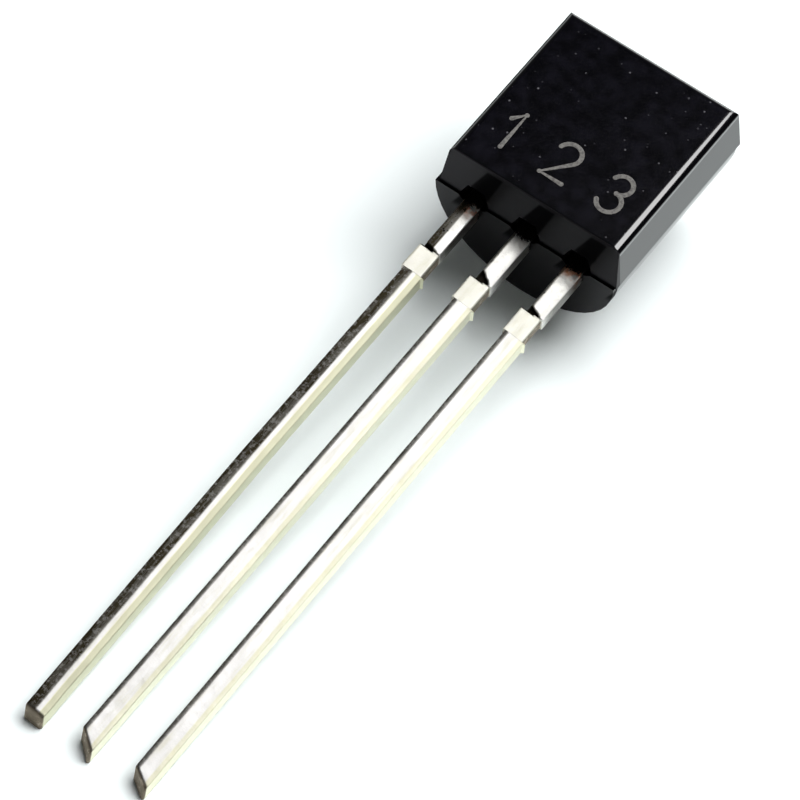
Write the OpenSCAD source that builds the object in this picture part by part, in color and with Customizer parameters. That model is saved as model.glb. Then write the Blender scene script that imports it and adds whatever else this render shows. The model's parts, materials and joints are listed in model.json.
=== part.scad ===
// TO-92 small-signal transistor, flat up, lying on its rounded back and its lead tips.
// Package axes: X across the leads, +Y from the lead end into the body, Z up to the flat.
// Y = 0 is the front half's lead end and Z = 0 is the mould's parting plane, flush with
// the front face of the lead frame. rest_pose() lays that package on the surface Z = 0.

/* [Moulded body] */
// Width of the front half at the parting plane
body_w = 4.37; // [4.2:0.01:4.7]
// Height of the body along the leads
body_h = 4.46; // [4.3:0.01:4.7]
// Width of the flat, to its sharp corners
flat_w = 4.13; // [3.6:0.01:4.15]
// Depth from the parting plane to the flat
front_depth = 1.17; // [1.1:0.01:1.4]
// Radius of the rounded back
back_r = 2.2; // [2.1:0.01:2.3]
// Rounding of the flat's side and top edges
edge_r = 0.18; // [0.08:0.01:0.25]
// Rounding of the flat's edge at the leads
lead_edge_r = 0.05; // [0.02:0.01:0.1]
// Mould draft in degrees: front half's lead end, back half's lead end, top end
end_draft = [6, 3, 4];
// How far the two mould halves are out of line, across and along the leads
mismatch = [0.05, 0.05];
// Depth of the sockets that the leads leave the body through
socket_depth = 0.2; // [0.1:0.01:0.3]
// Diameter of the ejector pin's mark on the back
ejector_d = 1.1; // [0.8:0.05:1.2]

/* [Leads] */
// Distance between neighbouring leads
pitch = 1.27; // [1.22:0.01:1.32]
// Length of the leads outside the body
lead_len = 14.67; // [12.7:0.01:15]
// Thickness of the lead frame
lead_t = 0.42; // [0.36:0.01:0.51]
// Width of the long legs
leg_w = 0.44; // [0.4:0.01:0.5]
// Width of the shoulders next to the body
shoulder_w = 0.38; // [0.36:0.01:0.42]
// Width of the stubs left by the trimmed tie bar
stub_w = 0.46; // [0.45:0.01:0.5]
// Distance from the body to the stubs
stub_start = 1.46; // [1.2:0.01:1.8]
// Length of the stubs
stub_len = 0.66; // [0.5:0.02:0.8]
// Rounding of the leads' long edges
lead_r = 0.05; // [0.02:0.01:0.08]
// How far each leg stands to the left of its own shoulder
leg_shift = [0, 0.03, 0.045];
// Distance from the body to each leg's slight bend
bend_at = [7.5, 2.2, 2.2];
// Sideways bend of each leg, in degrees
bend = [0.75, 0.1, 0.3];
// Slant of each cut tip seen from the flat, in degrees
tip_skew = [3, 36, 30];
// Slant of the cut tips seen from the side, in degrees
tip_rake = 8; // [0:1:20]

/* [Inside] */
// Side and thickness of the silicon die
die = [0.42, 0.2];
// Thickness of the die attach layer
attach_t = 0.02; // [0.01:0.005:0.03]
// Diameter of the bond wires
wire_d = 0.03; // [0.025:0.005:0.05]
// Rise of the bond wires' loops
loop_h = 0.36; // [0.25:0.01:0.5]

/* [Hidden] */
$fn = 64;
cut = 1;                                    // how far cutters reach past a surface
front_x = mismatch[0];                      // front half's offset from the lead frame
back_y = -mismatch[1];                      // back half's lead end
back_h = body_h - mismatch[1];              // back half's top end
draft_run = [for (angle = end_draft) tan(angle)];
lean = atan((back_r - lead_t) / (lead_len + back_y + back_r * draft_run[1]));
lift = back_r * cos(lean) - (back_y + back_r * draft_run[1]) * sin(lean);
rest_x = (back_r - front_x - body_w / 2) / 2;
rest_y = (lead_len * cos(lean) - body_h * cos(lean)) / 2;
stub_jut = (stub_w - leg_w) / 2 + 0.04;     // stubs stand proud on the left only
notch = [0.16, 0.09];                       // length and depth of the trim punch's bite
socket_w = [0.2, 0.36, 0.23];              // socket half-widths: top, middle, bottom
socket_z = [0.36, 0, -0.12];                 // their heights
ejector_sink = 0.08;
gate = [0.8, 0.04, 0.3];                    // scar of the mould gate on the top end
post_y = 1.45;                              // where the wires land on the posts
post_x = 1.2;
die_y = 2.62;
bond_x = 0.11;                              // bond pads' offset from the die's middle
bond_y = 0.07;
ball = [0.08, 0.02];                        // diameter and height of the ball bonds
wire_steps = 12;

// Lays the package down: the lead tips and the back's rim come to Z = 0.
module rest_pose() {
    translate([rest_x, rest_y, lift])
        rotate([lean, 0, 0])
            children();
}

// Extrudes an outline drawn in X and Z along +Y, from y0 to y1.
module along_y(y0, y1) {
    translate([0, y1, 0])
        rotate([90, 0, 0])
            linear_extrude(height = y1 - y0)
                children();
}

// Extrudes an outline drawn in Y and Z along X, both ways from the middle.
module along_x(width) {
    rotate([90, 0, 90])
        linear_extrude(height = width, center = true)
            children();
}

// Four-sided outline standing on the first axis, from foot a to foot b and from top c to
// top d, with its two top corners rounded by ra and rb.
module rounded_top(a, b, c, d, height, ra, rb) {
    angle_a = atan2(height, c - a);
    angle_b = atan2(height, b - d);
    run_a = ra * tan(angle_a / 2);
    run_b = rb * tan(angle_b / 2);
    polygon([[a, 0], [b, 0],
             [d + run_b * cos(angle_b), height - run_b * sin(angle_b)], [d - run_b, height],
             [c + run_a, height], [c - run_a * cos(angle_a), height - run_a * sin(angle_a)]]);
    translate([c + run_a, height - ra])
        circle(r = ra);
    translate([d - run_b, height - rb])
        circle(r = rb);
}

// Front half: a drafted block whose flat has rounded edges.
module front_half() {
    run = front_depth * draft_run;
    intersection() {
        translate([front_x, 0, 0])
            along_y(-cut, body_h + cut)
                rounded_top(-body_w / 2, body_w / 2, -flat_w / 2, flat_w / 2,
                            front_depth, edge_r, edge_r);
        along_x(body_w * 2)
            rounded_top(0, body_h, run[0], body_h - run[2], front_depth, lead_edge_r, edge_r);
    }
}

// Back half: a half cylinder with drafted ends.
module back_half() {
    run = back_r * draft_run;
    difference() {
        intersection() {
            along_y(back_y, back_h)
                difference() {
                    circle(r = back_r);
                    translate([-body_w, 0])
                        square([body_w * 2, body_w]);
                }
            along_x(body_w * 2)
                polygon([[back_y, 0], [back_h, 0],
                         [back_h - run[2], -back_r], [back_y + run[1], -back_r]]);
        }
        translate([0, body_h / 2, ejector_sink - back_r - cut])
            cylinder(d = ejector_d, h = cut);
    }
    translate([-gate[0] / 2, back_h - gate[2] * draft_run[2] - gate[1], -gate[2]])
        cube([gate[0], gate[1] * 2, gate[2]]);
}

// Six-sided socket that the mould leaves round a lead.
module lead_socket() {
    half = [for (i = [0:2]) [socket_w[i], socket_z[i]]];
    along_y(-cut, socket_depth)
        polygon(concat(half, [for (i = [2:-1:0]) [-half[i][0], half[i][1]]]));
}

module moulded_body() {
    color("#1d1d22")
        rest_pose()
            difference() {
                union() {
                    front_half();
                    back_half();
                }
                for (side = [-1:1])
                    translate([side * pitch, 0, 0])
                        lead_socket();
                for (side = [-1:1])
                    lead(side);
                die_layers(0, attach_t + die[1]);
                for (side = [-1, 1])
                    bond_wire(side);
            }
}

// Straight length of lead with rounded long edges; its front face is at Z = 0.
module bar(width, y0, y1) {
    translate([0, 0, -lead_t])
        along_y(y0, y1) {
            translate([lead_r - width / 2, 0])
                square([width - lead_r * 2, lead_t]);
            translate([-width / 2, lead_r])
                square([width, lead_t - lead_r * 2]);
            for (x = [-1, 1], z = [lead_r, lead_t - lead_r])
                translate([x * (width / 2 - lead_r), z])
                    circle(r = lead_r);
        }
}

// Part of the lead frame with square edges, from its outline in plan.
module frame_plate(outline) {
    translate([0, 0, -lead_t])
        linear_extrude(height = lead_t)
            polygon(outline);
}

// Everything beyond the slanted plane that the cropping tool leaves at a tip.
module tip_cut(skew) {
    translate([leg_w / 2 - lead_r, -lead_len, -lead_t])
        rotate([0, 0, -skew])
            rotate([-tip_rake, 0, 0])
                translate([-cut, -cut, -cut])
                    cube([cut * 2, cut, cut * 3]);
}

// Wedge that the trim punch bites out of the front face between shoulder and stub.
module punch_notch() {
    translate([0, -stub_start, -notch[1]])
        linear_extrude(height = cut)
            polygon([[-stub_w, 0], [stub_w / 2, 0], [stub_w / 2, notch[0] / 8],
                     [-stub_w / 4, notch[0]], [-stub_w, notch[0] * 0.8]]);
}

// Slants whatever lies below y0 sideways, with nothing moved at y0 itself.
module bent_aside(y0, slope) {
    multmatrix([[1, -slope, 0, slope * y0],
                [0, 1, 0, 0],
                [0, 0, 1, 0],
                [0, 0, 0, 1]])
        children();
}

// The part of a lead outside the body: shoulder, stub, leg and its slight bend.
module outer_lead(side) {
    bend_y = -bend_at[side + 1];
    difference() {
        union() {
            bar(shoulder_w, -stub_start, socket_depth);
            translate([-leg_shift[side + 1], 0, 0]) {
                translate([-stub_jut, 0, 0])
                    bar(stub_w, -stub_start - stub_len, -stub_start);
                bar(leg_w, bend_y, -stub_start - stub_len);
                bent_aside(bend_y, tan(bend[side + 1]))
                    difference() {
                        bar(leg_w, -lead_len - lead_r, bend_y);
                        tip_cut(tip_skew[side + 1]);
                    }
            }
        }
        punch_notch();
    }
}

// Wire post of an outer lead, with a notch that locks it into the moulding.
module post() {
    half = shoulder_w / 2;
    frame_plate([[-half, socket_depth], [half, socket_depth], [half, 0.75], [0.32, 0.9],
                 [0.32, 1.75], [-0.42, 1.75], [-0.42, 1.35], [-0.3, 1.28], [-0.3, 1.12],
                 [-0.42, 1.05], [-0.42, 0.85], [-half, 0.7]]);
}

// Paddle of the middle lead, with side notches and a hole that lock it in.
module paddle() {
    half = shoulder_w / 2;
    right = [[half, socket_depth], [half, 1.5], [0.92, 2.02], [0.92, 3.1],
             [0.8, 3.2], [0.8, 3.35], [0.92, 3.45], [0.92, 3.8]];
    count = len(right);
    difference() {
        frame_plate(concat(right,
            [for (i = [1:count]) [-right[count - i][0], right[count - i][1]]]));
        translate([0, 3.4, -lead_t - cut])
            cylinder(d = 0.44, h = lead_t + cut * 2);
    }
}

// Lead on one side: -1 emitter, 0 collector, 1 base.
module lead(side) {
    translate([side * pitch, 0, 0]) {
        outer_lead(side);
        if (side == 0)
            paddle();
        else
            mirror([side == 1 ? 1 : 0, 0, 0])
                post();
    }
}

module tinned_lead(side) {
    color("#cfccc0")
        rest_pose()
            lead(side);
}

module emitter_lead() {
    tinned_lead(-1);
}

module collector_lead() {
    tinned_lead(0);
}

module base_lead() {
    tinned_lead(1);
}

// Square block on the paddle between two heights.
module die_layers(z0, z1) {
    side = die[0];
    translate([-side / 2, die_y - side / 2, z0])
        cube([side, side, z1 - z0]);
}

module silicon_die() {
    color("#5b6470")
        rest_pose()
            die_layers(attach_t, attach_t + die[1]);
}

module die_attach() {
    color("#b9b4a6")
        rest_pose()
            die_layers(0, attach_t);
}

// Point of a bond wire's middle line at angle t, from the ball (0) to the post (180).
function wire_point(from, to, t) =
    [for (i = [0, 1]) from[i] + (to[i] - from[i]) * (1 - cos(t)) / 2,
     from[2] + (to[2] - from[2]) * t / 180 + loop_h * sin(t)];

// Slope of the middle line in its own upright plane.
function wire_slope(from, to, t) =
    let (span = norm([to[0] - from[0], to[1] - from[1]]))
        atan2((to[2] - from[2]) / PI + loop_h * cos(t), span * sin(t) / 2);

// Gold wire: a ball on the die, a loop, and a stitch on the post.
module bond_wire(side) {
    foot = [side * bond_x, die_y + side * bond_y, attach_t + die[1]];
    from = [foot[0], foot[1], foot[2] + ball[1]];
    to = [side * post_x, post_y, 0];
    heading = atan2(to[1] - from[1], to[0] - from[0]);
    sides = 6;
    rings = [for (i = [0:wire_steps]) for (k = [0:sides - 1])
        let (t = i * 180 / wire_steps,
             slope = wire_slope(from, to, t),
             out = wire_d / 2 * cos(k * 360 / sides),
             up = wire_d / 2 * sin(k * 360 / sides))
            wire_point(from, to, t)
            + [-out * sin(heading) - up * sin(slope) * cos(heading),
               out * cos(heading) - up * sin(slope) * sin(heading),
               up * cos(slope)]];
    walls = [for (i = [0:wire_steps - 1]) for (k = [0:sides - 1])
        let (a = i * sides + k, b = i * sides + (k + 1) % sides)
            [a, b, b + sides, a + sides]];
    ends = [[for (k = [sides - 1:-1:0]) k], [for (k = [0:sides - 1]) wire_steps * sides + k]];
    polyhedron(points = rings, faces = concat(walls, ends));
    translate(foot)
        cylinder(d = ball[0], h = ball[1], $fn = 12);
}

module gold_wire(side) {
    color("#d9a53a")
        rest_pose()
            bond_wire(side);
}

module emitter_bond_wire() {
    gold_wire(-1);
}

module base_bond_wire() {
    gold_wire(1);
}

moulded_body();
emitter_lead();
collector_lead();
base_lead();
silicon_die();
die_attach();
emitter_bond_wire();
base_bond_wire();
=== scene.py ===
import json
import math

import bmesh
import bpy
from mathutils import Matrix, Vector, noise


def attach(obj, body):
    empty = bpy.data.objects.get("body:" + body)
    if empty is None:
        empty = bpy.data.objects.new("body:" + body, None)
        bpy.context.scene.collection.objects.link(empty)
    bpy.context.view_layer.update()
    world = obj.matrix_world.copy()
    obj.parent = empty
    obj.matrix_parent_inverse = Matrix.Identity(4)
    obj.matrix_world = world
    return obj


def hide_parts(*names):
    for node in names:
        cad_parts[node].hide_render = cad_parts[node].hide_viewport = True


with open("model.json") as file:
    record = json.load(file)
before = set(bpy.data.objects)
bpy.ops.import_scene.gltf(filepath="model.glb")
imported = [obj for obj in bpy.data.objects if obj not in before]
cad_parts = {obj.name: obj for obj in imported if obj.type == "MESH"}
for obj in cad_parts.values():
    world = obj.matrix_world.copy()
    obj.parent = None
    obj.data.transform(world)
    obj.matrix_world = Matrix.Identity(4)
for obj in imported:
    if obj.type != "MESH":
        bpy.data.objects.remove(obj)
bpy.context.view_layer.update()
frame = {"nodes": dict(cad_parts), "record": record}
nodes = frame["nodes"]
mm = 0.001

# Package axes, in millimetres: X across the leads, Y from the lead end into the body,
# Z out of the flat, with Z = 0 on the parting plane and Y = 0 at the body's lead end.
package = {"height": 4.46, "frontDepth": 1.17, "mismatch": 0.05, "pitch": 1.27}
flatMount = next(mount for mount in frame["record"]["mounts"] if mount["name"] == "flat")
flatNormal = Vector(flatMount["axis"]).normalized()
lean = math.atan2(-flatNormal.y, flatNormal.z)
turn = Matrix.Rotation(lean, 4, "X")
flatCentre = Vector((package["mismatch"], package["height"] / 2, package["frontDepth"])) * mm
origin = Vector(flatMount["pos_m"]) - turn @ flatCentre
toRow = Matrix.Translation(origin) @ turn @ Matrix.Scale(mm, 4)
print("frame loaded, package leans", round(math.degrees(lean), 2), "degrees")


class Wire:
    def __init__(self, book, socket):
        self.book = book
        self.socket = socket

    def math(self, operation, *others):
        values = dict(enumerate([self, *others]))
        return self.book.add("ShaderNodeMath", {"operation": operation}, values)

    def __add__(self, other):
        return self.math("ADD", other)

    def __sub__(self, other):
        return self.math("SUBTRACT", other)

    def __mul__(self, other):
        return self.math("MULTIPLY", other)

    def __truediv__(self, other):
        return self.math("DIVIDE", other)

    def __rsub__(self, other):
        return self.book.add("ShaderNodeMath", {"operation": "SUBTRACT"}, {0: other, 1: self})

    def step(self, start, end):  # 0 before start, 1 after end, smooth between
        ends = {"Value": self, "From Min": start, "From Max": end}
        return self.book.add("ShaderNodeMapRange", {"interpolation_type": "SMOOTHSTEP"}, ends)

    def fall(self, start, end):
        return 1 - self.step(start, end)


class Book:
    def __init__(self, tree):
        self.tree = tree

    def add(self, kind, settings=None, inputs=None, output=0):
        node = self.tree.nodes.new(kind)
        for name, value in (settings or {}).items():
            setattr(node, name, value)
        for key, value in (inputs or {}).items():
            if isinstance(value, Wire):
                self.tree.links.new(value.socket, node.inputs[key])
            else:
                node.inputs[key].default_value = value
        return Wire(self, node.outputs[output]) if node.outputs else node

    def mix(self, factor, first, second):
        sockets = {"Factor": factor, 6: first, 7: second}
        return self.add("ShaderNodeMix", {"data_type": "RGBA"}, sockets, 2)

    def noise(self, vector, scale, detail=3.0, roughness=0.5):
        sockets = {"Vector": vector, "Scale": scale, "Detail": detail, "Roughness": roughness}
        return self.add("ShaderNodeTexNoise", None, sockets)

    def cells(self, vector, scale, output=0):
        sockets = {"Vector": vector, "Scale": scale}
        return self.add("ShaderNodeTexVoronoi", {"feature": "F1"}, sockets, output)

    def bump(self, height, distance):
        return self.add("ShaderNodeBump", None, {"Strength": 1.0, "Distance": distance, "Height": height})

    def attribute(self, name):
        return self.add("ShaderNodeAttribute", {"attribute_name": name}, None, 2)

    def shader(self, **sockets):
        inputs = {name.replace("_", " "): value for name, value in sockets.items()}
        return self.add("ShaderNodeBsdfPrincipled", None, inputs)

    def blend(self, factor, first, second):
        return self.add("ShaderNodeMixShader", None, {0: factor, 1: first, 2: second})


def newMaterial(name):
    material = bpy.data.materials.new(name)
    material.use_nodes = True
    material.node_tree.nodes.clear()
    return material, Book(material.node_tree)


def finishMaterial(book, shader):
    book.add("ShaderNodeOutputMaterial", None, {"Surface": shader})


def packageCoordinates(book, stretch=(1, 1, 1)):
    point = book.add("ShaderNodeTexCoord", output="Object")
    sockets = {"Vector": point, "Location": origin, "Rotation": (lean, 0, 0),
               "Scale": [mm * s for s in stretch]}
    return book.add("ShaderNodeMapping", {"vector_type": "TEXTURE"}, sockets)


def axesOf(book, vector):
    first = book.add("ShaderNodeSeparateXYZ", None, {"Vector": vector})
    return [Wire(book, socket) for socket in first.socket.node.outputs]


# Materials

def compoundMaterial():
    look = {
        "dark": (0.001, 0.001, 0.0018), "light": (0.003, 0.0029, 0.0055), "speck": (0.11, 0.11, 0.12),
        "end": (0.0014, 0.0014, 0.0018), "endTint": (0.96, 0.86, 1, 1),
        "flatRoughness": 0.18, "sideRoughness": 0.06, "endRoughness": 0.3, "paintedDarkRoughness": 0.5,
        "coatRoughness": 0.05, "flatIor": 1.3, "sideIor": 1.53, "endIor": 1.235, "paintedDarkIor": 1.04,
        "coatIor": 1.6, "speckCells": 7.0, "grainDepth": 1.6e-6, "polishDepth": 0.6e-6,
        # where each finish fades in or out, in package millimetres, flatEdge from the flat
        "flatEdge": (-0.002, -0.001), "leadEnd": (0.13, 0.14), "fillet": (0.95, 1.0),
        "filletFoot": (1.03, 1.06), "filletHead": (1.12, 1.135),
        # bands of painted dark reflection above the leads, standing in for the leads' shaded sides mirrored
        # in the end facets, with how far their two sides lean
        "bandLeft": (-0.33, -0.27), "bandRight": (0.2, 0.27), "bandLean": (0.45, 0.3),
        "bandFoot": (-0.6, -0.3), "bandHead": (1.02, 1.1), "bandReach": (0.2, 0.3), "bandStrength": 0.9,
    }
    material, book = newMaterial("blackCompound")
    local = packageCoordinates(book)
    x, y, z = axesOf(book, local)
    onFlat = z.step(*[package["frontDepth"] + edge for edge in look["flatEdge"]])
    onLeadEnd = y.fall(*look["leadEnd"]) * (1 - onFlat)
    across = x.math("WRAP", package["pitch"] / 2, -package["pitch"] / 2)  # within one lead's pitch
    leftLean, rightLean = look["bandLean"]
    leftSide = (across - z * leftLean).step(*look["bandLeft"])
    rightSide = (across - z * rightLean).fall(*look["bandRight"])
    leaning = leftSide * rightSide
    # painted dark reflection: a black, nearly unreflecting band above each lead on the end facets
    darkReflectionBand = leaning * z.step(*look["bandFoot"]) * z.fall(*look["bandHead"]) * y.fall(*look["bandReach"])
    blotch = book.noise(local, 3.2, 4, 0.6)
    fine = book.noise(local, 22, 3, 0.6)
    chosen = axesOf(book, book.cells(local, look["speckCells"], 1))[0].step(0.72, 0.74)
    crowd = book.noise(local, 1.1, 2).step(0.36, 0.55)
    speck = book.cells(local, look["speckCells"]).fall(0.06, 0.22) * chosen * crowd * fine.step(0.3, 0.55)
    tone = book.mix(blotch.step(0.35, 0.7), (*look["dark"], 1), (*look["light"], 1))
    colour = book.mix(speck, tone, (*look["speck"], 1))
    rough = (blotch - 0.5) * 0.14 + (fine - 0.5) * 0.1 + look["flatRoughness"]
    grain = book.bump(fine * 0.9 + blotch * 0.5, look["grainDepth"])
    polish = book.bump(fine * 0.1 + blotch * 0.4, look["polishDepth"])
    flat = book.shader(Base_Color=colour, Roughness=rough, IOR=look["flatIor"], Normal=grain)
    side = book.shader(Base_Color=(*look["dark"], 1), Roughness=look["sideRoughness"], IOR=look["sideIor"],
                       Coat_Weight=z.step(*look["fillet"]), Coat_Roughness=look["coatRoughness"],
                       Coat_IOR=look["coatIor"], Normal=polish)
    plainEnd = book.shader(Base_Color=(*look["end"], 1), Roughness=look["endRoughness"], IOR=look["endIor"],
                        Specular_Tint=look["endTint"], Normal=polish)
    # a black, nearly unreflecting finish that paints dark reflection wherever it is mixed in
    paintedDark = book.shader(Base_Color=(*look["end"], 1), Roughness=look["paintedDarkRoughness"],
                          IOR=look["paintedDarkIor"])
    end = book.blend(darkReflectionBand * look["bandStrength"], plainEnd, paintedDark)
    # painted dark reflection: a black line along the fillet just below its highlight
    filletDarkReflection = z.step(*look["filletFoot"]) * z.fall(*look["filletHead"])
    upright = book.blend(filletDarkReflection, side, paintedDark)
    finishMaterial(book, book.blend(onLeadEnd, book.blend(onFlat, upright, flat), end))
    return material


def tinMaterial():
    look = {
        "tin": (0.89, 0.88, 0.86), "dull": (0.83, 0.815, 0.71), "warmToneAndShade": (0.785, 0.765, 0.54),
        "slopeShade": (0.48, 0.49, 0.39), "stainAndShade": (0.035, 0.03, 0.022), "leftShade": (0.085, 0.07, 0.04),
        "copper": (0.75, 0.3, 0.12), "paintedLight": (0.98, 0.97, 0.92), "resin": (0.01, 0.009, 0.008),
        "shade": (0.05, 0.04, 0.03), "cut": (0.22, 0.185, 0.14), "cutLight": (0.52, 0.45, 0.36),
        "roughness": 0.4, "wornRoughness": 0.25, "bumpDepth": 4e-6, "streakStretch": (1, 9, 1),
        # where each tone fades in or out, in package millimetres
        "nearBody": (-1.9, -0.9), "root": (-0.5, -0.2), "outerLeads": (0.5, 0.8), "legs": (-2.2, -2.1),
        "shoulderSides": (-0.1, -0.04), "shoulderReach": (-1.6, -1.0), "litShoulderTops": (-0.12, -0.06),
        "litLegSides": (-0.14, -0.08), "resinEdge": (-0.14, -0.08),
    }
    material, book = newMaterial("tinPlating")
    local = packageCoordinates(book)
    x, y, z = axesOf(book, local)
    streak = book.noise(packageCoordinates(book, look["streakStretch"]), 9, 4, 0.65)
    cloud = book.noise(local, 2.6, 4, 0.6)
    grain = book.noise(local, 26, 3, 0.6)
    flake = book.noise(local, 9, 4, 0.7)
    cut, notchShade, leftShade, warmToneAndShade = [book.attribute(name) for name in ("cutFace", "notchShade", "leftShade", "warmToneAndShade")]
    nearBody = y.step(*look["nearBody"])
    # real dark stains near the body, heavier along the left side
    stainAndShade = flake.step(0.55, 0.6) * (leftShade * 0.9 + 0.1) * nearBody
    root = y.step(*look["root"]) * cloud.step(0.4, 0.55)
    ragged = y + (cloud - 0.5) * 0.8
    shaded = z.fall(*look["shoulderSides"]) * ragged.step(*look["shoulderReach"])
    fleck = leftShade * flake.step(0.5, 0.62)
    litLegSides = z.fall(*look["litLegSides"]) * y.fall(*look["legs"])
    litShoulderTops = z.step(*look["litShoulderTops"]) * nearBody
    bared = root * flake * x.math("ABSOLUTE").step(*look["outerLeads"])
    colour = book.mix(streak.step(0.45, 0.8), (*look["tin"], 1), (*look["dull"], 1))
    # painted light: the lower sides of the legs lightened towards pale tin
    colour = book.mix(litLegSides * 0.8, colour, (*look["paintedLight"], 1))
    # painted light: the shoulder tops near the body lightened towards pale tin
    colour = book.mix(litShoulderTops * 0.9, colour, (*look["paintedLight"], 1))
    # painted shade on the tops' right slopes, dimmer and yellower, and a real patchy yellow tone on the stubs
    colour = book.mix(warmToneAndShade * (flake * 0.7 + 0.45), colour, (*look["warmToneAndShade"], 1))
    # painted shade: the emitter's right slope darkened further
    colour = book.mix(warmToneAndShade - 1, colour, (*look["slopeShade"], 1))
    colour = book.mix(bared * 1.5, colour, (*look["copper"], 1))
    # painted dark reflection along the tops' left side, over the emitter's whole left half, mottled by flecks
    colour = book.mix(leftShade * (streak.fall(0.35, 0.6) * 0.3 + 0.72) - fleck * 0.4, colour, (*look["leftShade"], 1))
    colour = book.mix(shaded * (0.95 - flake * 0.25), colour, (*look["shade"], 1))
    # real stains near the body, and painted shade inside the trim notches
    colour = book.mix((stainAndShade + notchShade * 1.4).math("MINIMUM", 1.0), colour, (*look["stainAndShade"], 1))
    shear = book.mix(flake.step(0.5, 0.7), (*look["cut"], 1), (*look["cutLight"], 1))
    colour = book.mix(cut, colour, shear)
    resin = (y + (grain - 0.5) * 0.3 + (cloud - 0.5) * 0.4).step(*look["resinEdge"])
    colour = book.mix(resin, colour, (*look["resin"], 1))
    worn = (notchShade + cut + resin + fleck) * look["wornRoughness"]
    rough = (streak - 0.5) * 0.14 + (grain - 0.5) * 0.12 + look["roughness"] + worn
    bump = book.bump(streak * 0.5 + cloud * 2.0 + grain * 0.25 + flake * nearBody * 1.5, look["bumpDepth"])
    finishMaterial(book, book.shader(Base_Color=colour, Metallic=1.0, Roughness=rough, Normal=bump))
    return material


innerFinishes = {
    "bondGold": {"dark": (0.75, 0.45, 0.12), "light": (0.9, 0.6, 0.2), "roughness": 0.2, "grain": 40},
    "dieSolder": {"dark": (0.4, 0.38, 0.33), "light": (0.55, 0.52, 0.46), "roughness": 0.35, "grain": 20},
    "polishedSilicon": {"dark": (0.09, 0.11, 0.13), "light": (0.14, 0.16, 0.19), "roughness": 0.12,
                        "grain": 6},
}


def innerMaterial(name):
    look = innerFinishes[name]
    material, book = newMaterial(name)
    grain = book.noise(packageCoordinates(book), look["grain"], 3)
    colour = book.mix(grain, (*look["dark"], 1), (*look["light"], 1))
    rough = grain * 0.15 + look["roughness"]
    finishMaterial(book, book.shader(Base_Color=colour, Metallic=1.0, Roughness=rough))
    return material


def inkMaterial():
    look = {"pale": (0.18, 0.175, 0.165), "worn": (0.085, 0.083, 0.08)}
    material, book = newMaterial("laserMark")
    local = packageCoordinates(book)
    grain = book.noise(local, 16, 4, 0.7)
    colour = book.mix(grain.step(0.42, 0.66), (*look["pale"], 1), (*look["worn"], 1))
    finishMaterial(book, book.shader(Base_Color=colour, Roughness=0.6, IOR=1.3))
    return material


def dress(obj, material):
    obj.data.materials.clear()
    obj.data.materials.append(material)


tin = tinMaterial()
gold = innerMaterial("bondGold")
dress(nodes["moulded_body"], compoundMaterial())
dress(nodes["silicon_die"], innerMaterial("polishedSilicon"))
dress(nodes["die_attach"], innerMaterial("dieSolder"))
for name in ("emitter_bond_wire", "base_bond_wire"):
    dress(nodes[name], gold)
print("materials made")


# Leads

leadSizes = {
    "length": 14.67, "thickness": 0.42, "shoulder": (-0.19, 0.19), "stub": (-0.28, 0.18),
    "leg": (-0.22, 0.22), "stubStart": 1.46, "stubEnd": 2.12, "corner": 0.018, "inside": 0.15,
    "tipRight": 0.17, "rake": 8, "nose": (0.1, 0.08), "noseSide": 0.05, "burr": 0.05, "burrRun": (0.01, 0.05),
    "notchDepth": 0.13, "notchGap": 0.03, "notchTaper": 0.75, "notchRagged": 0.02, "trimmed": 0.95,
    "stubRidge": -0.27, "stubFall": 0.16, "stubWarm": 0.4, "lipGain": 1.5, "wave": 0.006, "sharpAngle": 28,
    "topDepth": 0.03, "lipDepth": 0.1, "trimmedFrom": 0.02, "sideBand": 0.004, "capInset": 0.06,
    "footEdge": 0.008, "headEdge": 0.02, "biteStart": (-0.04, 0.1), "biteStop": (0.8, 1), "cutFade": 0.01,
    "tipStart": 14.0,
}
leads = [
    {"name": "emitter", "x": -1.27, "shift": 0.0, "bendAt": 7.5, "bend": 0.75, "skew": 3,
     "ridge": -0.005, "leftShade": 0.95, "leftFall": 0.01, "rightFall": 0.2, "root": (0.0, 0.18),
     "notch": (0.15, 0.31), "warmFrom": 0.085, "warmToneAndShade": 1.4},
    {"name": "collector", "x": 0.0, "shift": 0.03, "bendAt": 2.2, "bend": 0.1, "skew": 36,
     "ridge": -0.135, "leftShade": 0.72, "leftFall": 0.06, "rightFall": 0.19, "root": (0.15, 0.5),
     "notch": (0.3, 0.3), "warmFrom": 0.12, "warmToneAndShade": 0.9},
    {"name": "base", "x": 1.27, "shift": 0.045, "bendAt": 2.2, "bend": 0.3, "skew": 30,
     "ridge": -0.135, "leftShade": 0.72, "leftFall": 0.06, "rightFall": 0.19, "root": (0.1, 0.4),
     "notch": (0.2, 0.3), "warmFrom": 0.12, "warmToneAndShade": 0.9},
]


def smooth(start, end, value):
    t = min(max((value - start) / (end - start), 0), 1)
    return t * t * (3 - 2 * t)


def sideways(lead, out):
    bend = max(out - lead["bendAt"], 0) * math.tan(math.radians(lead["bend"]))
    return bend - lead["shift"] if out > leadSizes["stubStart"] else 0


def edgesAt(lead, y):
    out = -y
    if out < leadSizes["stubStart"]:
        return leadSizes["shoulder"]
    left, right = leadSizes["stub"] if out < leadSizes["stubEnd"] else leadSizes["leg"]
    if out >= leadSizes["stubEnd"]:
        right += leadSizes["burr"] * (1 - smooth(*leadSizes["burrRun"], out - leadSizes["stubEnd"]))
    return left + sideways(lead, out), right + sideways(lead, out)


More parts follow.
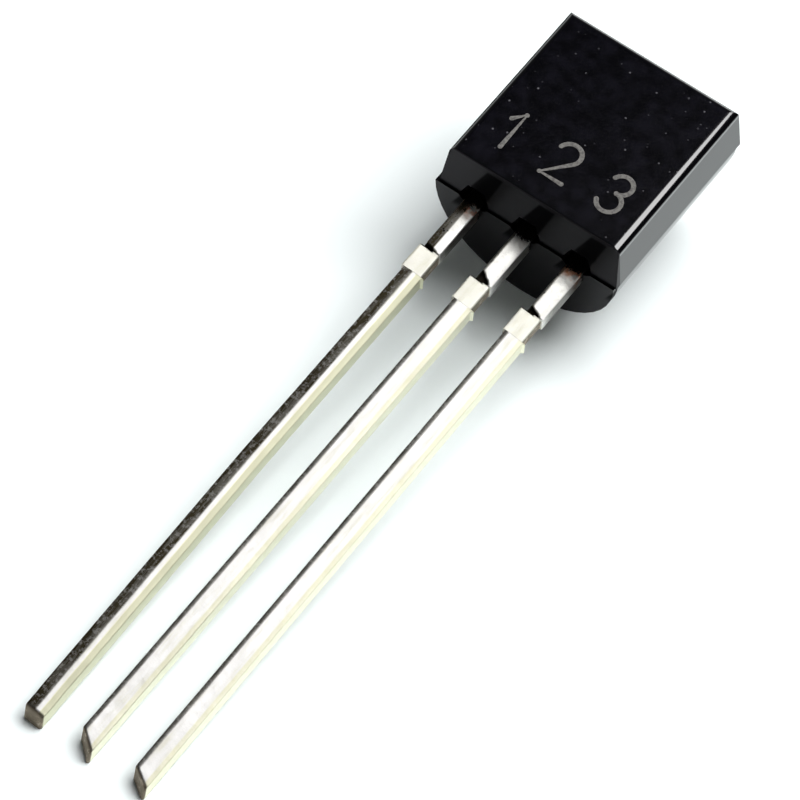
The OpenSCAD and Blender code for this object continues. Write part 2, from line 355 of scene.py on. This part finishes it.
def roundedOutline(left, right, bottom, radius):
    # each corner: place, where its arc starts in degrees, points on the straight after it
    corners = [(left, 0, 180, 12), (right, 0, 90, 3), (right, bottom, 0, 3), (left, bottom, -90, 3)]
    arcSteps = 3

    def onArc(corner, degrees):
        x, z = corner[:2]
        across = x + (radius if x == left else -radius)
        up = z + (radius if z == bottom else -radius)
        angle = math.radians(degrees)
        return across + radius * math.cos(angle), up + radius * math.sin(angle)

    points = []
    for index, corner in enumerate(corners):
        start, between = corner[2:]
        points += [onArc(corner, start - part * 90 / arcSteps) for part in range(arcSteps + 1)]
        first = points[-1]
        last = onArc(corners[(index + 1) % len(corners)], start - 90)
        for part in range(1, between + 1):
            share = part / (between + 1)
            points.append((first[0] + (last[0] - first[0]) * share, first[1] + (last[1] - first[1]) * share))
    return points


def topDrop(lead, x, y):
    inStub = leadSizes["stubStart"] < -y < leadSizes["stubEnd"]
    ridge = leadSizes["stubRidge"] if inStub else lead["ridge"]
    fall = leadSizes["stubFall"] if inStub else lead["rightFall"]
    across = x - sideways(lead, -y) - ridge
    drop = across * fall if across > 0 else -across * lead["leftFall"]
    wave = noise.noise(Vector((x * 1.5 + lead["x"] * 3, y * 0.7, 4.2))) * leadSizes["wave"]
    return (drop + wave + leadSizes["wave"]) * smooth(*lead["root"], -y)


def notchDepth(lead, left, x, y):
    width, reach = lead["notch"]
    along = (x - left) / reach
    if along > 1:
        return 0
    foot = -leadSizes["stubStart"] - leadSizes["notchGap"]
    ragged = noise.noise(Vector((x * 14, lead["x"], 0))) * leadSizes["notchRagged"]
    head = foot + width * (1 - leadSizes["notchTaper"] * along) + ragged
    footEdge, headEdge = leadSizes["footEdge"], leadSizes["headEdge"]
    inside = smooth(foot - footEdge, foot + footEdge, y) * (1 - smooth(head - headEdge, head, y))
    return inside * smooth(*leadSizes["biteStart"], along) * (1 - smooth(*leadSizes["biteStop"], along))


def tipAt(lead, x, z):  # the solid's own slanted and raked cut
    skew = math.radians(lead["skew"])
    rake = math.tan(math.radians(leadSizes["rake"])) / math.cos(skew)
    bottom = -leadSizes["length"] - math.tan(skew) * (x - leadSizes["tipRight"])
    return bottom + rake * (leadSizes["thickness"] + z)


def tipInset(radius, gap):  # how far the cut end's rounded edge stands in
    short = max(radius - gap, 0)
    return radius - math.sqrt(radius * radius - short * short)


def stationsOf():  # where the loft has outlines, closest together at the stub's ends
    start, end = leadSizes["stubStart"], leadSizes["stubEnd"]
    # each span: from, to, spacing
    spans = [(-leadSizes["inside"], start - 0.32, 0.06), (start - 0.32, start - 0.002, 0.012),
             (start + 0.002, start + 0.06, 0.012), (start + 0.1, end - 0.01, 0.08),
             (end - 0.006, end - 0.002, 0.004), (end + 0.002, end + 0.06, 0.008),
             (end + 0.12, leadSizes["tipStart"], 0.11)]
    stations = set()
    for first, last, pitch in spans:
        count = max(round((last - first) / pitch), 1)
        stations.update(round(-(first + (last - first) * k / count), 4) for k in range(count + 1))
    return sorted(stations, reverse=True)


def leadRing(lead, place, gap, marks):  # gap: distance from the cut end, or None away from it
    left, right = edgesAt(lead, place)
    leftNose, rightNose = leadSizes["nose"]
    thickness = leadSizes["thickness"]
    middle = (left + right) / 2
    centre = sideways(lead, -place)
    inStub = leadSizes["stubStart"] < -place < leadSizes["stubEnd"]
    nearTip = gap is not None
    inset = tipInset(leadSizes["noseSide"], gap) if nearTip else 0
    ring = []
    for x, z in roundedOutline(left, right, -thickness, leadSizes["corner"]):
        height = 1 + z / thickness  # 1 on the top, 0 on the bottom
        bite = notchDepth(lead, left, x, place) if z > -leadSizes["topDepth"] else 0
        sink = topDrop(lead, x, place) * height + bite * leadSizes["notchDepth"]
        share = (right - x) / (right - left)
        drop = tipInset(rightNose + (leftNose - rightNose) * share, gap) if nearTip else 0
        inward = x + (middle - x) * inset / (right - middle)
        reach = tipAt(lead, x - centre, z) + gap if nearTip else place
        ring.append((inward + lead["x"], reach, z - sink - drop * height))
        onSide = z < -leadSizes["trimmedFrom"] and min(x - left, right - x) < leadSizes["sideBand"]
        cutEdge = smooth(0, leadSizes["cutFade"], max(drop, inset))
        marks["cutFace"].append(max(leadSizes["trimmed"] if inStub and onSide else 0, cutEdge))
        # painted shade inside the trim notch
        marks["notchShade"].append(bite)
        # painted dark reflection on the top's left side, stronger further left
        onLip = x - centre < lead["ridge"] and z > -leadSizes["lipDepth"] and not inStub
        beyond = lead["ridge"] - x + centre
        marks["leftShade"].append(lead["leftShade"] + beyond * leadSizes["lipGain"] if onLip else 0)
        # painted shade on the top's right slope, strongest on the emitter, and a real yellow tone on the stub
        onWarm = x - centre > lead["warmFrom"] and place < -leadSizes["stubStart"]
        marks["warmToneAndShade"].append(leadSizes["stubWarm"] if inStub else lead["warmToneAndShade"] if onWarm else 0)
    return ring


def middleOf(ring):
    return [sum(p[axis] for p in ring) / len(ring) for axis in range(3)]


def loftLead(lead):
    # distances from the cut end, closest together over its rounded edge
    gaps = [0.35, 0.22, 0.19, 0.16, 0.13, 0.11, 0.09, 0.07, 0.05, 0.035, 0.02, 0.01, 0.0]
    places = [(y, None) for y in stationsOf()] + [(-leadSizes["length"], gap) for gap in gaps]
    marks = {"cutFace": [], "notchShade": [], "leftShade": [], "warmToneAndShade": []}
    rings = [leadRing(lead, place, gap, marks) for place, gap in places]
    tip = middleOf(rings[-1])
    inset = leadSizes["capInset"]
    rings.append([tuple(p[axis] + (tip[axis] - p[axis]) * inset for axis in range(3)) for p in rings[-1]])
    for name, end in (("cutFace", 1), ("notchShade", 0), ("leftShade", 0), ("warmToneAndShade", 0)):
        marks[name] += [end] * len(rings[0]) + [0, end]
    return rings, middleOf(rings[0]), tip, marks


def meshFromRings(name, rings, root, tip, marks):
    count = len(rings[0])
    points = [p for ring in rings for p in ring] + [root, tip]
    faces = []
    for row in range(len(rings) - 1):
        for k in range(count):
            a, b = row * count + k, row * count + (k + 1) % count
            faces.append((a, b, b + count, a + count))
    final = (len(rings) - 1) * count
    for k in range(count):
        faces.append(((k + 1) % count, k, len(points) - 2))
        faces.append((final + k, final + (k + 1) % count, len(points) - 1))
    mesh = bpy.data.meshes.new(name)
    mesh.from_pydata([toRow @ Vector(p) for p in points], [], faces)
    for label, values in marks.items():
        mesh.attributes.new(label, "FLOAT", "POINT").data.foreach_set("value", values)
    return mesh


def innerPart(node, mesh):  # the part of the lead that the body hides, cut from the solid
    form = bmesh.new()
    form.from_mesh(node.data)
    bmesh.ops.remove_doubles(form, verts=form.verts, dist=1e-7)
    place = toRow @ Vector((0, leadSizes["inside"], 0))
    normal = turn @ Vector((0, -1, 0))
    shape = form.verts[:] + form.edges[:] + form.faces[:]
    cut = bmesh.ops.bisect_plane(form, geom=shape, plane_co=place, plane_no=normal, clear_outer=True)
    rim = [item for item in cut["geom_cut"] if isinstance(item, bmesh.types.BMEdge)]
    bmesh.ops.holes_fill(form, edges=rim)
    form.to_mesh(mesh)
    form.free()


def buildLead(lead):
    node = nodes[lead["name"] + "_lead"]
    outer = meshFromRings(lead["name"] + "Outer", *loftLead(lead))
    inner = bpy.data.meshes.new(lead["name"] + "Inner")
    innerPart(node, inner)
    form = bmesh.new()
    form.from_mesh(outer)
    form.from_mesh(inner)
    bmesh.ops.recalc_face_normals(form, faces=form.faces)
    mesh = bpy.data.meshes.new(lead["name"] + "_lead_tinned")
    form.to_mesh(mesh)
    form.free()
    mesh.set_sharp_from_angle(angle=math.radians(leadSizes["sharpAngle"]))
    piece = bpy.data.objects.new(mesh.name, mesh)
    bpy.context.scene.collection.objects.link(piece)
    dress(piece, tin)
    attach(piece, "root")
    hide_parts(node.name)


for lead in leads:
    buildLead(lead)
print("leads lofted")


# Pin numbers on the flat

def strokesOf(height):
    def arc(cx, cy, radius, start, end, count):
        turns = [math.radians(start + (end - start) * k / count) for k in range(count + 1)]
        return [(cx + radius * math.cos(a), cy + radius * math.sin(a)) for a in turns]

    one = [[(-0.17, 0.74), (0.05, 1.0), (0.05, 0.0)]]
    two = [arc(0, 0.73, 0.27, 165, -35, 12) + [(-0.27, 0.0), (0.29, 0.0)]]
    three = [arc(0, 0.755, 0.245, 160, -85, 12), arc(0, 0.255, 0.27, 88, -160, 13)]
    digits = (one, two, three)
    return [[[(x * height, y * height) for x, y in stroke] for stroke in digit] for digit in digits]


def markTree(material, sizes):
    tree = bpy.data.node_groups.new("pinNumbers", "GeometryNodeTree")
    sockets = {}
    tree.interface.new_socket("Strokes", in_out="INPUT", socket_type="NodeSocketGeometry")
    for label, value in sizes.items():
        kind = "NodeSocketInt" if isinstance(value, int) else "NodeSocketFloat"
        item = tree.interface.new_socket(label, in_out="INPUT", socket_type=kind)
        sockets[label] = item.identifier
    tree.interface.new_socket("Marks", in_out="OUTPUT", socket_type="NodeSocketGeometry")
    book = Book(tree)
    given = tree.nodes.new("NodeGroupInput")
    inputs = {socket.name: Wire(book, socket) for socket in given.outputs if socket.name}
    strokes, width, film = inputs["Strokes"], inputs["Stroke Width"], inputs["Film"]
    detail = inputs["Round End Detail"]
    half = width * 0.5
    curve = book.add("GeometryNodeMeshToCurve", None, {"Mesh": strokes})
    ring = book.add("GeometryNodeCurvePrimitiveCircle", None, {"Resolution": detail, "Radius": half})
    profile = {"Curve": curve, "Profile Curve": ring, "Fill Caps": True}
    tube = book.add("GeometryNodeCurveToMesh", None, profile)
    ball = book.add("GeometryNodeMeshUVSphere", None, {"Segments": detail, "Rings": 6, "Radius": half})
    ends = book.add("GeometryNodeInstanceOnPoints", None, {"Points": strokes, "Instance": ball})
    both = tree.nodes.new("GeometryNodeJoinGeometry")
    for wire in (tube, book.add("GeometryNodeRealizeInstances", None, {"Geometry": ends})):
        tree.links.new(wire.socket, both.inputs[0])
    flatten = book.add("ShaderNodeCombineXYZ", None, {"X": 1.0, "Y": 1.0, "Z": film / width})
    joined = Wire(book, both.outputs[0])
    thin = book.add("GeometryNodeTransform", None, {"Geometry": joined, "Scale": flatten})
    inked = book.add("GeometryNodeSetMaterial", None, {"Geometry": thin, "Material": material})
    out = tree.nodes.new("NodeGroupOutput")
    tree.links.new(inked.socket, out.inputs[0])
    return tree, sockets


def buildMarks():
    look = {"height": 0.95, "bottom": 0.72, "stroke": 0.105, "film": 0.006, "endDetail": 12}
    sizes = {"Stroke Width": look["stroke"], "Film": look["film"], "Round End Detail": look["endDetail"]}
    points, edges = [], []
    for column, digit in enumerate(strokesOf(look["height"])):
        for stroke in digit:
            for k, (x, y) in enumerate(stroke):
                points.append(((column - 1) * package["pitch"] + x, look["bottom"] + y, 0))
                if k:
                    edges.append((len(points) - 2, len(points) - 1))
    mesh = bpy.data.meshes.new("strokes")
    mesh.from_pydata(points, edges, [])
    carrier = bpy.data.objects.new("strokes", mesh)
    bpy.context.scene.collection.objects.link(carrier)
    tree, sockets = markTree(inkMaterial(), sizes)
    modifier = carrier.modifiers.new("pinNumbers", "NODES")
    modifier.node_group = tree
    for label, value in sizes.items():
        modifier[sockets[label]] = value
    shape = bpy.data.meshes.new_from_object(carrier.evaluated_get(bpy.context.evaluated_depsgraph_get()))
    bpy.data.objects.remove(carrier)
    shape.name = "pin_numbers"
    shape.transform(toRow @ Matrix.Translation((0, 0, package["frontDepth"])))
    piece = bpy.data.objects.new("pin_numbers", shape)
    bpy.context.scene.collection.objects.link(piece)
    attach(piece, "root")


buildMarks()
print("pin numbers marked")


# Floor, light and camera

def makeFloor():
    look = {"size": 0.6, "colour": (0.9, 0.955, 0.955)}
    mesh = bpy.data.meshes.new("floor")
    half = look["size"] / 2
    corners = [(-half, -half, 0), (half, -half, 0), (half, half, 0), (-half, half, 0)]
    mesh.from_pydata(corners, [], [(0, 1, 2, 3)])
    floor = bpy.data.objects.new("floor", mesh)
    bpy.context.scene.collection.objects.link(floor)
    material, book = newMaterial("palePaper")
    finishMaterial(book, book.add("ShaderNodeBsdfDiffuse", None, {"Color": (*look["colour"], 1)}))
    dress(floor, material)


def makeLights():
    lamps = {
        "keySoftbox": {"aim": (0.375, 0.508, 0.775), "distance": 0.2, "size": (0.27, 0.022), "watts": 0.112},
        "tipSoftbox": {"aim": (0.29, 0.33, 0.88), "distance": 0.2, "size": (0.158, 0.032), "watts": 0.034},
        "softDome": {"aim": (0.2, 0.57, 0.8), "distance": 0.3, "spread": 54, "strength": 3.6},
    }
    for name, look in lamps.items():
        dome = "spread" in look
        data = bpy.data.lights.new(name, "SUN" if dome else "AREA")
        if dome:
            data.angle = math.radians(look["spread"])
            data.energy = look["strength"]
        else:
            data.shape = "RECTANGLE"
            data.size, data.size_y = look["size"]
            data.energy = look["watts"]
        lamp = bpy.data.objects.new(name, data)
        away = Vector(look["aim"]).normalized()
        across = Vector((away.z, 0, -away.x)).normalized()
        facing = Matrix((across, away.cross(across), away)).transposed()
        place = Matrix.Translation(away * look["distance"])
        lamp.matrix_world = turn @ place @ facing.to_4x4()
        lamp.visible_glossy = not dome
        bpy.context.scene.collection.objects.link(lamp)


def makeWorld():
    look = {"overhead": 0.035, "horizon": 0.7, "fade": (0.02, 0.4)}
    world = bpy.data.worlds.new("studio")
    bpy.context.scene.world = world
    world.use_nodes = True
    world.node_tree.nodes.clear()
    book = Book(world.node_tree)
    z = axesOf(book, book.add("ShaderNodeTexCoord"))[2]
    level = z.fall(*look["fade"]) * (look["horizon"] - look["overhead"]) + look["overhead"]
    back = book.add("ShaderNodeBackground", None, {"Color": (1, 1, 1, 1), "Strength": level})
    book.add("ShaderNodeOutputWorld", None, {"Surface": back})


def makeCamera():
    look = {"aim": (-0.341, -3.693, -2.0), "azimuth": 31.64, "elevation": 58.493, "roll": 4.962,
            "distance": 108.4, "focal": 241.5}
    data = bpy.data.cameras.new("camera")
    data.lens = look["focal"]
    data.sensor_width = 36
    data.clip_start = 0.001
    camera = bpy.data.objects.new("camera", data)
    bpy.context.scene.collection.objects.link(camera)
    tip = Matrix.Rotation(math.radians(90 - look["elevation"]), 4, "X")
    swing = Matrix.Rotation(math.radians(look["azimuth"]), 4, "Z")
    twist = Matrix.Rotation(math.radians(look["roll"]), 4, "Z")
    aim = Matrix.Translation(Vector(look["aim"]) * mm)
    away = Matrix.Translation((0, 0, look["distance"] * mm))
    camera.matrix_world = Matrix.Translation(origin) @ turn @ aim @ swing @ tip @ away @ twist
    bpy.context.scene.camera = camera


makeFloor()
makeLights()
makeWorld()
makeCamera()
bpy.context.scene.view_settings.view_transform = "Standard"
print("floor, light and camera placed")
